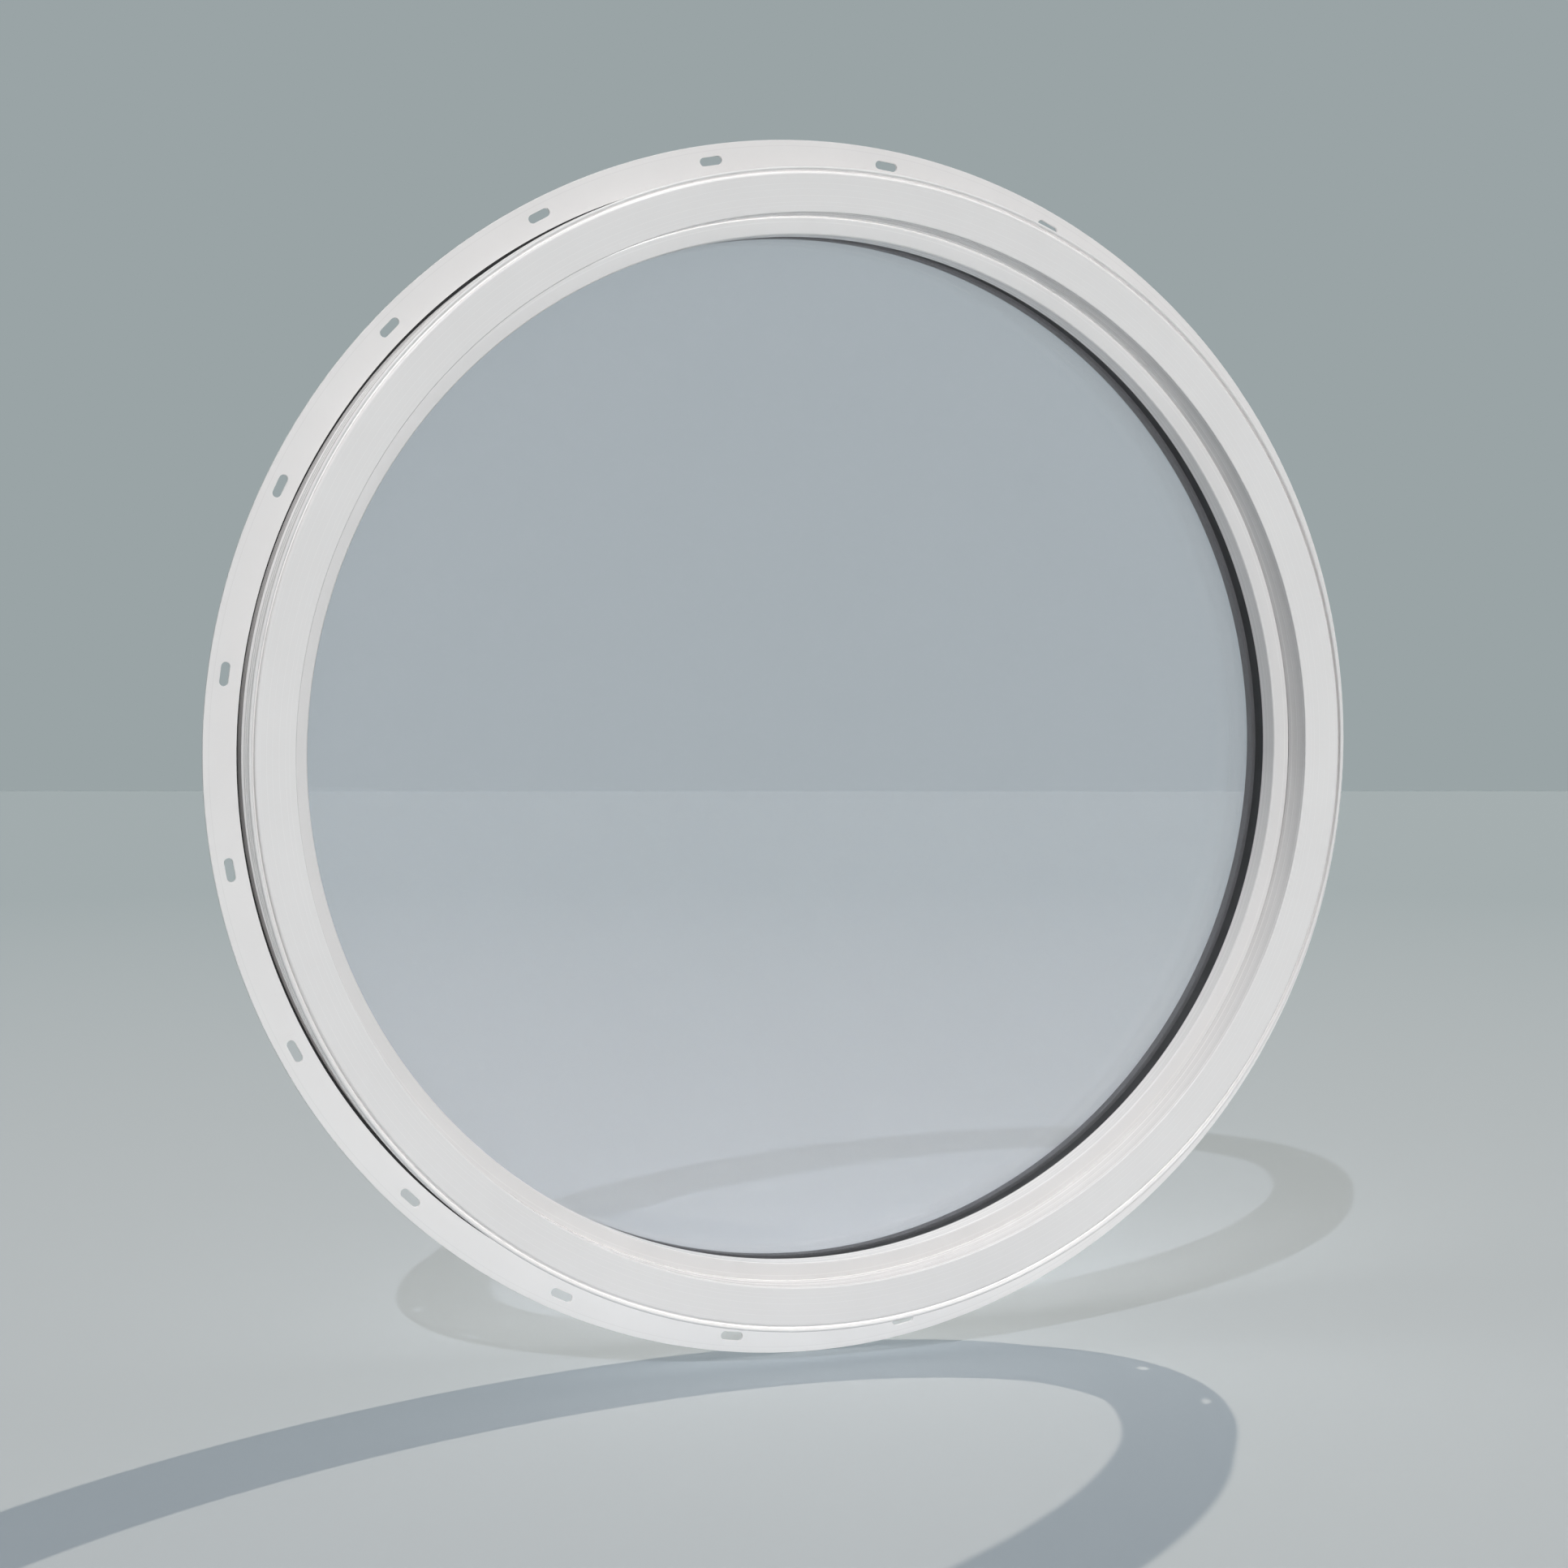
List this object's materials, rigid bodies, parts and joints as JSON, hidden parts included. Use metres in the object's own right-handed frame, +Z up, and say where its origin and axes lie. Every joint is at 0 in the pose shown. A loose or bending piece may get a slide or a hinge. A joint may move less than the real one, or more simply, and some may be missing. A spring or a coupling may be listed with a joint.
{
  "type": "round fixed window",
  "caption": "Round fixed window: white PVC ring frame with slotted nailing fin, clip-in glazing bead, black gasket and sealed double glazing.",
  "frame": {"origin": "centre of the window on the wall plane, which is the back face of the nailing fin", "axes": "+Y along the window's axis from outdoors to indoors, +Z up, +X to the right seen from outdoors"},
  "size_m": [0.7999, 0.084, 0.8],
  "materials": {
    "white_pvc": "satin white extruded PVC",
    "fin_pvc": "satin white extruded PVC",
    "bead_pvc": "satin white extruded PVC",
    "black_epdm": "black EPDM rubber",
    "black_foam": "black closed-cell foam",
    "clear_glass": "clear float glass",
    "black_spacer": "black warm-edge spacer",
    "key_metal": "pressed aluminium",
    "desiccant_fill": "molecular sieve beads",
    "black_sealant": "black sealant",
    "block_plastic": "moulded glazing block"
  },
  "bodies": {
    "root": {"frame": "white_pvc", "nailing_fin": "fin_pvc", "fin_seal": "black_foam", "glazing_bead": "bead_pvc", "glazing_gasket": "black_epdm", "outer_pane": "clear_glass", "inner_pane": "clear_glass", "spacer_bar": "black_spacer", "spacer_key": "key_metal", "desiccant": "desiccant_fill", "outer_butyl": "black_sealant", "inner_butyl": "black_sealant", "edge_seal": "black_sealant", "glazing_tape": "black_foam", "setting_blocks": "block_plastic", "locating_blocks": "block_plastic"}
  },
  "joints": []
}
